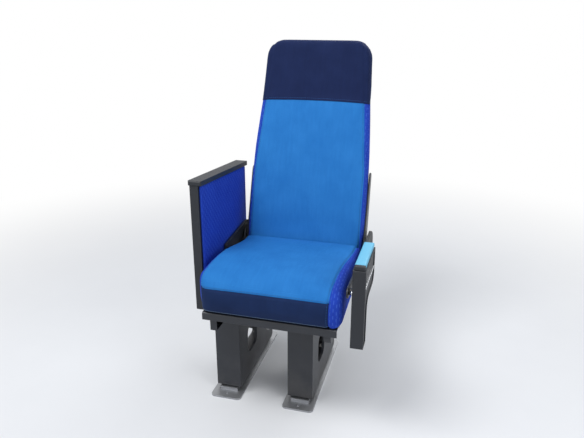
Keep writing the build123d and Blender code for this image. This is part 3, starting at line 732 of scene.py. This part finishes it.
def back_held(points):
    """1 where the cover can't swell: behind, at the foot and sides, along the seams."""
    x, u, v = points.T
    behind = ramp(v, -26 * mm, -10 * mm)
    foot = 1 - ramp(u, 10 * mm, 90 * mm)
    head = 0.6 * ramp(u, 500 * mm, 560 * mm)
    seam = 0.7 * (1 - ramp(np.abs(np.abs(x) - back_seam(1, u)), 4 * mm, 24 * mm))
    side = ramp(np.abs(x), back_half(u) - 9 * mm, back_half(u) - 3 * mm)
    return np.max([behind, foot, head, seam, side], axis=0)


width, thickness = 430 * mm, 56 * mm
block = rounded_block(
    (-width / 2, -back_foot, 0), (width / 2, back_top, thickness), corner=15 * mm, cell=5 * mm
)
points = read_points(block)
points[:, 0] /= width / 2
points[:, 2] /= thickness
write_points(block, bend_back(points))
back_skin = inflate("back", block, back_held, voxel=6 * mm, reach=9 * mm)

# %% Cut the back into its panel and bolsters
board_front = -8.3 * mm  # the panel ends here, in front of the board
groove_behind = -14 * mm  # the groove of a seam is only on the face


def back_seam_distance(points):
    front = points[:, 2] < groove_behind
    return np.where(front, np.abs(points[:, 0]) - back_seam(1, points[:, 1]), 1)


press(back_skin, back_seam_distance, depth=3.5 * mm, width=4.5 * mm)
back_pieces = {
    "back_face_panel": (-1, 1, "back_panel", "face_cloth", face_cloth),
    "back_side_bolster_wall": (None, -1, "back_bolster_wall", "side_cloth", side_cloth),
    "back_side_bolster_aisle": (1, None, "back_bolster_aisle", "side_cloth", side_cloth),
}
dressed_back = []
for name, (inner, outer, node, slot_name, finish) in back_pieces.items():
    mesh = cut_between(back_skin, back_seam, inner, outer)
    points = read_points(mesh)
    if name == "back_face_panel":
        points[:, 2] = np.minimum(points[:, 2], board_front)
    write_points(mesh, points)
    lay_weave(mesh)
    write_points(mesh, pivot + points @ back_axes)
    dressed_back.append(upholster(name, mesh, "backrest", node, slot_name, foam_fill, finish))

# %% [markdown]
# ## The head cover
# A cap of stretched cloth protects the top of the back. It is pulled over the foam in front
# and over the shell behind, and bridges the groove between them. It could be draped by a
# simulation, but a taut cap hardly folds. So a loose cap is shrunk on to the back: every
# point is laid on what is under it, smoothed like taut cloth, and lifted again where the
# smoothing has sunk it.

# %% Rays from a core inside the head
cap_gap = 1.8 * mm  # from the cap to what is under it
spine_half, spine_drop, spine_depth = 122 * mm, 64 * mm, -6 * mm  # the core in x, u and v
ray_length = 120 * mm


def merged_tree(objects):
    """One search tree of several objects' surfaces, for casting rays at all of them."""
    points, faces, start = [], [], 0
    for made in objects:
        made.data.calc_loop_triangles()
        points.append(read_points(made.data))
        faces.append(read_all(made.data.loop_triangles, "vertices", 3, int) + start)
        start += len(points[-1])
    return BVHTree.FromPolygons(np.concatenate(points).tolist(), np.concatenate(faces).tolist())


hard_back = [frame["nodes"][name] for name in ("back_shell", "back_board")]
head_tree = merged_tree(dressed_back + hard_back)


def head_spine(points):
    """The nearest place on a flat core inside the head, which a point is pulled towards."""
    x, u, v = points.T
    across = np.clip(x, -spine_half, spine_half)
    up = np.minimum(u, back_top - spine_drop)
    return np.stack([across, up, np.full_like(v, spine_depth)], axis=1)


def laid_on(points, gap):
    """Moves each point along its line to the core, to that gap outside what it meets."""
    cores = head_spine(points)
    laid = points.copy()
    for index, (point, core) in enumerate(zip(points, cores)):
        way = core - point
        way = way / np.linalg.norm(way)
        start = core - way * ray_length
        hit, normal, face, far = head_tree.ray_cast(
            Vector(pivot + start @ back_axes), Vector(way @ back_axes), ray_length
        )
        if hit is not None:
            laid[index] = start + way * (far - gap)
    return laid


def lifted(points, gap):
    """Points that have sunk nearer than gap to what is under them come back up to it."""
    lowest = laid_on(points, gap)
    core = head_spine(points)
    sunk = np.linalg.norm(points - core, axis=1) < np.linalg.norm(lowest - core, axis=1)
    return np.where(sunk[:, None], lowest, points)


# %% Shrink a cap over the head
cap_half, cap_foot, cap_rise = 215 * mm, 470 * mm, 22 * mm  # the loose cap, in x and u
cap_front, cap_rear = -62 * mm, 46 * mm  # and in v
smoothing_rounds = 4
block = rounded_block(
    (-cap_half, cap_foot, cap_front), (cap_half, back_top + cap_rise, cap_rear),
    corner=40 * mm, cell=7 * mm,
)
bm = bmesh.new()
bm.from_mesh(block)
floor = [face for face in bm.faces if all(v.co.y < cap_foot + 1 * mm for v in face.verts)]
bmesh.ops.delete(bm, geom=floor, context="FACES")
bm.to_mesh(block)
for vertex, point in zip(bm.verts, laid_on(read_points(block), cap_gap)):
    vertex.co = point
for turn in range(smoothing_rounds):
    bmesh.ops.smooth_vert(
        bm, verts=bm.verts, factor=0.5, use_axis_x=True, use_axis_y=True, use_axis_z=True
    )
    relaxed = np.array([vertex.co[:] for vertex in bm.verts])
    for vertex, point in zip(bm.verts, lifted(relaxed, cap_gap)):
        vertex.co = point
print("cap points", len(bm.verts))

# %% Cut the hem
hem_front, hem_rear, hem_band = 494 * mm, 560 * mm, 11 * mm
hem_arch, arch_half = 5 * mm, 200 * mm  # how far it is pulled up, and over what half width
step_middle, step_width = -8 * mm, 20 * mm  # where in v the front's hem goes up to the rear's


def hem_height(x, v):
    """The hem is pulled up a little in the middle, and steps up from the front to the rear."""
    share = min(max((v - step_middle) / step_width + 0.5, 0), 1)
    arch = hem_arch * (1 - (x / arch_half) ** 2)
    return hem_front + (1 - share) * arch + (hem_rear - hem_front) * share


for vertex in bm.verts:
    vertex.co.y -= hem_height(vertex.co.x, vertex.co.z)
bisect(bm, (0, 0, 0), (0, -1, 0), clear=True)
bisect(bm, (0, hem_band, 0), (0, -1, 0))
in_band = [vertex.co.y < hem_band + 0.5 * mm for vertex in bm.verts]
for vertex in bm.verts:
    vertex.co.y += hem_height(vertex.co.x, vertex.co.z)
cap_area = sum(face.calc_area() for face in bm.faces)
cap = new_object("head_cap", closed_mesh(bm, "cap"), cover_cloth)
print("cap area", round(cap_area, 4), "square metres")

# %% Give the cloth its thickness, double in the hem
hem_thickness, single_share = 2.0 * mm, 0.55
band = cap.vertex_groups.new(name="hem")
for index, doubled in enumerate(in_band):
    band.add([index], 1.0 if doubled else single_share, "REPLACE")
subdivide_once(cap)
write_points(cap.data, pivot + lifted(read_points(cap.data), 1.2 * mm) @ back_axes)
thick = cap.modifiers.new("cloth", "SOLIDIFY")
thick.thickness = hem_thickness
thick.offset = 1.0
thick.vertex_group = "hem"
thick.use_even_offset = False
bake_modifiers(cap)
cap.vertex_groups.clear()
lay_weave(cap.data, back_axes.T)
smooth_shading(cap.data)
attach(cap, "backrest")
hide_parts("head_cover")
print("head_cap faces", len(cap.data.polygons))

# %% [markdown]
# ## The padded wall panel and the armrest's pad
# Both are thin and firm, so there is nothing to simulate: a rounded block with a slight
# crown, worked out with a formula, looks the same and takes no time. In front of the
# armrest's pad the photograph shows a short dark nose, at the pad's height.


# %% Padded wall panel
def crown(points, axis, height):
    """Swells the block's side that faces up that axis by that height, most in the middle."""
    low = points.min(axis=0)
    high = points.max(axis=0)
    share = 2 * (points - low) / (high - low) - 1
    across = [k for k in range(3) if k != axis]
    dome = (1 - share[:, across[0]] ** 4) * (1 - share[:, across[1]] ** 4)
    points[:, axis] += height * dome * np.clip(share[:, axis], 0, 1)
    return points


wall_low, wall_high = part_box("wall_panel_cloth")
wall_slope = radians(5)  # its top edge falls to the rear
wall_gap, wall_crown = 0.3 * mm, 4.5 * mm
block = rounded_block(
    (wall_low.x + wall_gap, wall_low.y, wall_low.z),
    (wall_high.x - 3 * mm, wall_high.y, wall_high.z), corner=5 * mm, cell=7 * mm,
)
points = crown(read_points(block), 0, wall_crown)
drop = (points[:, 1] - wall_low.y) * tan(wall_slope)
points[:, 2] -= drop * (points[:, 2] - wall_low.z) / (wall_high.z - wall_low.z)
write_points(block, points)
lay_weave(block)
upholster("wall_panel_pad", block, "base", "wall_panel_cloth", "side_cloth", firm_fill, side_cloth)

# %% The armrest's pad and the plastic nose in front of it
pad_low, pad_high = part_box("armrest_pad")
pad_front = pad_low.y + 15 * mm
pad_joint, pad_seat = 0.2 * mm, 0.2 * mm  # to each side of the joint, and under both


def arm_block(front, rear, sink, corner, swell):
    """A block on the armrest from one y to the other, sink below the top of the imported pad."""
    mesh = rounded_block(
        (pad_low.x, front, pad_low.z + pad_seat), (pad_high.x, rear, pad_high.z - sink),
        corner, cell=2.5 * mm,
    )
    write_points(mesh, crown(read_points(mesh), 2, swell))
    return mesh


block = arm_block(
    pad_front + pad_joint, pad_high.y, sink=1.2 * mm, corner=3.5 * mm, swell=1.2 * mm
)
upholster("armrest_pad_skin", block, "base", "armrest_pad", "pad_foam", firm_fill, pad_glare_skin)
block = arm_block(
    pad_low.y, pad_front - pad_joint, sink=1.6 * mm, corner=2.5 * mm, swell=0.6 * mm
)
smooth_shading(block)
pad_nose = new_object("armrest_pad_nose", block, black_plastic)
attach(pad_nose, "base")
print("armrest_pad_nose faces", len(block.polygons))

# %% [markdown]
# ## Repeats with Geometry Nodes
# Stitches come by the hundred and bolts sit at a few given places. Both could be copied in a
# Python loop, but a node tree does it faster and can be changed by its inputs. The sizes are
# inputs of the tree, so one tree serves all seams. The result is made a plain mesh, one for
# each body.


# %% Start a tree and bake it
def new_tree(name, sizes):
    """A node tree with a geometry input and named lengths, and the wires of its inputs."""
    tree = bpy.data.node_groups.new(name, "GeometryNodeTree")
    tree.interface.new_socket("Geometry", in_out="OUTPUT", socket_type="NodeSocketGeometry")
    tree.interface.new_socket("Geometry", in_out="INPUT", socket_type="NodeSocketGeometry")
    for label, size in sizes.items():
        socket = tree.interface.new_socket(label, in_out="INPUT", socket_type="NodeSocketFloat")
        socket.default_value = size
    given = tree.nodes.new("NodeGroupInput")
    return tree, [Wire(tree, out) for out in given.outputs[:len(sizes) + 1]]


def end_tree(geometry, finish):
    """Realizes the instances, gives them their finish and wires the tree's output."""
    real = geometry.node("GeometryNodeRealizeInstances", {}, {"Geometry": geometry})
    done = real.node("GeometryNodeSetMaterial", {}, {"Geometry": real, "Material": finish})
    out = done.tree.nodes.new("NodeGroupOutput")
    done.tree.links.new(done.out, out.inputs[0])


def bake_tree(name, mesh, tree, sizes, body):
    """A plain object of what the tree makes from the mesh, riding on that body."""
    made = new_object(name, mesh)
    nodes = made.modifiers.new("nodes", "NODES")
    nodes.node_group = tree
    for item in tree.interface.items_tree:
        if item.in_out == "INPUT" and item.name in sizes:
            nodes[item.identifier] = sizes[item.name]
    bake_modifiers(made)
    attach(made, body)
    print(name, "faces", len(made.data.polygons))
    return made


# %% [markdown]
# ## Stitches
# A top stitch is a short thread that dips into the cloth at both ends. A dashed texture
# would show no thread from the side, so each stitch is a small stretched bead, laid on every
# step of a path. The path is found by casting rays at the finished covers.


# %% The tree of the stitches
def stitch_tree(finish):
    tree, (path, pitch, length, thick) = new_tree(
        "stitches_" + finish.name, {"Pitch": 8 * mm, "Length": 6 * mm, "Thickness": 1.3 * mm}
    )
    line = path.node("GeometryNodeMeshToCurve", {}, {"Mesh": path})
    sockets = {"Curve": line, "Length": pitch}
    steps = line.node("GeometryNodeResampleCurve", {"mode": "LENGTH"}, sockets)
    tangent = line.node("GeometryNodeInputTangent", {}, {})
    turn = line.node("FunctionNodeAlignRotationToVector", {"axis": "X"}, {"Vector": tangent})
    bead = line.node("GeometryNodeMeshUVSphere", {}, {"Segments": 6, "Rings": 4, "Radius": 0.5})
    size = line.node("ShaderNodeCombineXYZ", {}, {"X": length, "Y": thick, "Z": thick})
    bead = bead.node("GeometryNodeTransform", {}, {"Geometry": bead, "Scale": size})
    sockets = {"Points": steps, "Instance": bead, "Rotation": turn}
    row = steps.node("GeometryNodeInstanceOnPoints", {}, sockets)
    end_tree(row.node("GeometryNodeSetShadeSmooth", {}, {"Geometry": row}), finish)
    return tree


def path_mesh(rows):
    """A mesh of edges through the rows of points. A row that ends where it starts is a ring."""
    points, edges = [], []
    for row in rows:
        start = len(points)
        points += [tuple(point) for point in row]
        edges += [(k, k + 1) for k in range(start, len(points) - 1)]
    mesh = bpy.data.meshes.new("path")
    mesh.from_pydata(points, edges, [])
    return mesh


# %% Find the seams on the cushion
seat_tree = merged_tree(dressed_seat)
seam_guesses = 3  # a seam's x depends on where the ray meets it, so the ray is cast again
core_y, core_up = -200 * mm, 36 * mm  # the middle that the rays of a seam point at
over_turns = np.radians(np.arange(15, 202, 1.5))  # from the rear over the nose to the bottom
corner_turns = np.radians(np.arange(0, 62, 5))
apron_end, apron_step = 184 * mm, 5 * mm


def seen_from(tree, start, way):
    """Where a ray first meets the surface, or None. Rays start well outside the seat."""
    hit, normal, face, far = tree.ray_cast(Vector(start), Vector(way), 1.0)
    return None if hit is None else np.array(hit)


def seat_row(side, offset):
    """Points beside a seam of the cushion, from the rear edge over the nose to the bottom."""
    row = []
    for turn in over_turns:
        way = np.array([0, cos(turn), sin(turn)])
        depth = core_y
        for guess in range(seam_guesses):
            x = side * seat_seam(side, depth) + offset
            core = np.array([x, core_y, seat_bottom + core_up])
            hit = seen_from(seat_tree, core + way * 0.5, -way)
            depth = depth if hit is None else hit[1]
        if hit is not None and hit[1] < seat_rear - 6 * mm and hit[2] > seat_bottom + 4 * mm:
            row.append(hit)
    return row


def apron_row(height):
    """Points across the front of the cushion and round its wall-side corner, at that height."""
    row = []
    corner_x = seat_corner - seat_edge(seat_front)
    for x in np.arange(apron_end, corner_x, -apron_step):
        row.append(seen_from(seat_tree, (x, seat_front - 0.1, height), (0, 1, 0)))
    for turn in corner_turns:
        way = np.array([sin(turn), cos(turn), 0])
        core = np.array([corner_x, seat_front + seat_corner, height])
        row.append(seen_from(seat_tree, core - way * 0.2, way))
    return [point for point in row if point is not None]


# %% Find the seams on the back and the hem of the cap
back_tree = merged_tree(dressed_back)
cap_tree = merged_tree([cap])


def back_row(side, offset):
    """Points beside a seam of the back, from its foot to just under the hem of the cap."""
    row = []
    for u in np.arange(-20 * mm, hem_front + 6 * mm, 6 * mm):
        x = side * (back_seam(side, u) + offset)
        start = pivot + np.array([x, u, -0.2]) @ back_axes
        hit = seen_from(back_tree, start, np.array([0, 0, 1]) @ back_axes)
        if hit is not None:
            row.append(hit)
    return row


def hem_row(above):
    """A ring round the cap, at that distance above its hem: front, side, rear, other side."""
    ring = []
    for start, end, first, last in (
        (-1, 1, -90, -90), (1, 1, -90, 90), (1, -1, 90, 90), (-1, -1, 90, 270)
    ):
        for share in np.linspace(0, 1, 24, endpoint=False):
            x = (start + (end - start) * share) * spine_half
            turn = radians(first + (last - first) * share)
            way = np.array([cos(turn), 0, sin(turn)])
            near = np.array([x, 0, spine_depth]) + way * 40 * mm
            for guess in range(seam_guesses):
                u = hem_height(near[0], near[2]) + above
                outer = np.array([x, u, spine_depth]) + way * 0.16
                hit = seen_from(cap_tree, pivot + outer @ back_axes, -way @ back_axes)
                near = (hit - pivot) @ back_axes.T
            ring.append(hit)
    return ring + ring[:1]


# %% Sew
beside = 5 * mm  # from a seam to its stitches
seam_stitches, hem_stitches = stitch_tree(thread), stitch_tree(pale_thread)
seat_rows = [
    seat_row(1, -beside), seat_row(1, beside), seat_row(-1, 6 * mm), apron_row(apron_top + beside)
]
back_rows = [back_row(side, offset) for side in (-1, 1) for offset in (-beside, beside)]
apron_hem, head_hem = [apron_row(seat_bottom + 9 * mm)], [hem_row(7 * mm)]
for name, rows, tree, body, pitch, length, thick in (
    ("seat_stitches", seat_rows, seam_stitches, "base", 8, 6, 1.3),
    ("back_stitches", back_rows, seam_stitches, "backrest", 8, 6, 1.3),
    ("apron_hem_stitches", apron_hem, hem_stitches, "base", 5, 4.4, 1.5),
    ("head_hem_stitches", head_hem, seam_stitches, "backrest", 7, 5.4, 1),
):  # the sizes are in mm
    sizes = {"Pitch": pitch * mm, "Length": length * mm, "Thickness": thick * mm}
    bake_tree(name, path_mesh(rows), tree, sizes, body)

# %% [markdown]
# ## Bolts and screws
# Hexagon bolts hold the frame and small round heads hold the hinge covers. Each is a washer,
# a head and a cone on top for the rounded edge, one tree for both. The points carry the way
# that their bolt faces as an attribute, which turns the bolt.


# %% The tree of the bolts
def bolt_tree(finish, sides):
    """A bolt on every point: washer, head of that many sides and the rounding on top."""
    tree, (places, radius, height, washer) = new_tree(
        "bolts", {"Radius": 7 * mm, "Height": 5 * mm, "Washer": 11 * mm}
    )
    settings = {"data_type": "FLOAT_VECTOR"}
    way = places.node("GeometryNodeInputNamedAttribute", settings, {"Name": "way"})
    turn = way.node("FunctionNodeAlignRotationToVector", {"axis": "Z"}, {"Vector": way})

    def disc(kind, sockets, lift):
        shape = way.node(kind, {}, sockets)
        shift = way.node("ShaderNodeCombineXYZ", {}, {"Z": lift})
        return shape.node("GeometryNodeTransform", {}, {"Geometry": shape, "Translation": shift})

    thin = height * 0.25
    sockets = {"Vertices": 24, "Radius": washer, "Depth": thin}
    plate = disc("GeometryNodeMeshCylinder", sockets, lift=thin * 0.5)
    sockets = {"Vertices": sides, "Radius": radius, "Depth": height}
    head = disc("GeometryNodeMeshCylinder", sockets, lift=height * 0.75)
    sockets = {"Vertices": sides, "Radius Top": radius * 0.8, "Radius Bottom": radius}
    rounded = disc("GeometryNodeMeshCone", {**sockets, "Depth": height * 0.2}, height * 1.25)
    bolt = way.node("GeometryNodeJoinGeometry", {}, {})
    for shape in (plate, head, rounded):
        tree.links.new(shape.out, bolt.out.node.inputs[0])
    sockets = {"Points": places, "Instance": bolt, "Rotation": turn}
    end_tree(way.node("GeometryNodeInstanceOnPoints", {}, sockets), finish)
    return tree


def bolt_mesh(places):
    """A mesh of loose points, each with the way its bolt faces."""
    mesh = bpy.data.meshes.new("places")
    mesh.from_pydata([place for place, way in places], [], [])
    facing = mesh.attributes.new("way", "FLOAT_VECTOR", "POINT")
    facing.data.foreach_set("vector", [v for place, way in places for v in way])
    return mesh


# %% Bolt it together
cover_screw_up, cover_screw_apart = 21 * mm, 24 * mm
rail_bolt_up, rail_bolt_apart = 15 * mm, 11 * mm
foot_bolt_front, foot_bolt_rear, leg_sheet = 32 * mm, 34 * mm, 3 * mm
front_low, front_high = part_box("cross_tube_front")
rear_low, rear_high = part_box("cross_tube_rear")
front_y = (front_low.y + front_high.y) / 2
rear_y = (rear_low.y + rear_high.y) / 2
screws, bolts = [], []
for side in ("wall", "aisle"):
    sign = -1 if side == "wall" else 1
    cover_low, cover_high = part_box("hinge_cover_" + side)
    rail_low, rail_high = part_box("side_rail_" + side)
    leg_low, leg_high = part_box("leg_" + side)
    face = cover_low.x if side == "wall" else cover_high.x
    for shift in (-cover_screw_apart, cover_screw_apart):
        screws.append(((face, rear_y + shift, cover_low.z + cover_screw_up), (sign, 0, 0)))
    face = rail_low.x if side == "wall" else rail_high.x
    for shift in (-rail_bolt_apart, rail_bolt_apart):
        bolts.append(((face, front_y + shift, front_low.z + rail_bolt_up), (sign, 0, 0)))
    middle = (leg_low.x + leg_high.x) / 2
    for y in (leg_low.y + foot_bolt_front, leg_high.y - foot_bolt_rear):
        bolts.append(((middle, y, leg_low.z + leg_sheet), (0, 0, 1)))
    for y in (front_y, rear_y):
        bolts.append(((middle, y, leg_high.z - leg_sheet), (0, 0, -1)))
for name, places, sides, radius, height, washer in (
    ("cover_screws", screws, 16, 3.6, 1.6, 5.2), ("frame_bolts", bolts, 6, 7, 5, 10),
):  # the sizes are in mm
    sizes = {"Radius": radius * mm, "Height": height * mm, "Washer": washer * mm}
    heads = bake_tree(name, bolt_mesh(places), bolt_tree(pin_steel, sides), sizes, "base")

# %% [markdown]
# ## Floor, light and camera
# A round pale floor, soft lamps and an even sky. Near the seat the floor is a plain surface
# that takes the shadow. Further off it fades to white, and the sky behind it is white too,
# but only as the camera or a reflection sees them: `Light Path` tells those rays apart, so
# the white throws no light on the seat. More lamps would make the floor as white, but they
# would bleach the cloth. The camera looks from the photograph's own place.


# %% Rays that see white
def white_for_eyes(wire, plain, strength, output):
    """Mixes plain with white by that strength, for camera, glossy and transmission rays."""
    ray = wire.node("ShaderNodeLightPath", {}, {}).out.node.outputs
    seen = Wire(wire.tree, ray["Is Camera Ray"])
    for kind in ("Glossy", "Transmission"):
        seen = seen.maths("MAXIMUM", seen, Wire(wire.tree, ray[f"Is {kind} Ray"]))
    white = wire.node("ShaderNodeEmission", {}, {"Color": (1, 1, 1, 1), "Strength": 1.0})
    mixed = wire.node("ShaderNodeMixShader", {}, {0: seen * strength, 1: plain, 2: white})
    wire.tree.links.new(mixed.out, wire.tree.nodes[output].inputs["Surface"])


# %% Floor
floor_radius, fade_from, fade_to = 6, 0.8, 2.8
floor_finish, shader, place = new_finish("studio_floor")
speckle = place.noise(0.35, detail=3, roughness=0.6)
pale = speckle.tint((0.76, 0.77, 0.79), (0.80, 0.81, 0.83))
set_finish(shader, pale, 0.75 - speckle * 0.1, speckle, depth=0.05 * mm)
far = place.node("ShaderNodeVectorMath", {"operation": "LENGTH"}, {0: place}, output=1)
fade = far.between(fade_from, fade_to)
white_for_eyes(place, Wire(place.tree, shader.outputs[0]), fade, "Material Output")

bm = bmesh.new()
bmesh.ops.create_circle(bm, cap_ends=True, segments=96, radius=floor_radius)
mesh = bpy.data.meshes.new("studio")
bm.to_mesh(mesh)
bm.free()
studio = new_object("studio", mesh, floor_finish)
print("floor of", floor_radius, "m")

# %% Sky and lights
world = bpy.data.worlds.new("studio")
bpy.context.scene.world = world
world.use_nodes = True
sky = world.node_tree.nodes["Background"]
sky.inputs["Color"].default_value = (0.86, 0.90, 0.96, 1)
sky.inputs["Strength"].default_value = 0.48
sky = Wire(world.node_tree, sky.outputs[0])
white_for_eyes(sky, sky, 1.0, "World Output")


def soft_lamp(name, place, target, size, watts):
    """A rectangle of light at that place, turned to its target."""
    lamp = bpy.data.lights.new(name, "AREA")
    lamp.shape = "RECTANGLE"
    lamp.size, lamp.size_y = size
    lamp.energy = watts
    made = bpy.data.objects.new(name, lamp)
    made.location = place
    made.rotation_euler = (Vector(target) - Vector(place)).to_track_quat("-Z", "Y").to_euler()
    bpy.context.scene.collection.objects.link(made)
    print("lamp", name, watts, "W")


soft_lamp("key", (-0.9, -1.2, 2.9), target=(0, 0, 0.6), size=(1.5, 1.1), watts=56)
soft_lamp("fill", (2.2, -1.4, 1.8), target=(0, 0, 0.5), size=(1.4, 1.4), watts=20)
soft_lamp("rim", (0.8, 2.0, 2.4), target=(0, 0, 0.8), size=(1.4, 0.9), watts=22)
bpy.context.scene.view_settings.view_transform = "Standard"

# %% Camera
eye = bpy.data.cameras.new("photo")
eye.lens = 36
eye.sensor_width = 36
camera = bpy.data.objects.new("photo", eye)
camera.location = (0.48, -1.81, 1.24)
aim = Vector((0.0, -0.06, 0.585))
camera.rotation_euler = (aim - camera.location).to_track_quat("-Z", "Y").to_euler()
bpy.context.scene.collection.objects.link(camera)
bpy.context.scene.camera = camera
print("camera", camera.location[:], "lens", eye.lens)
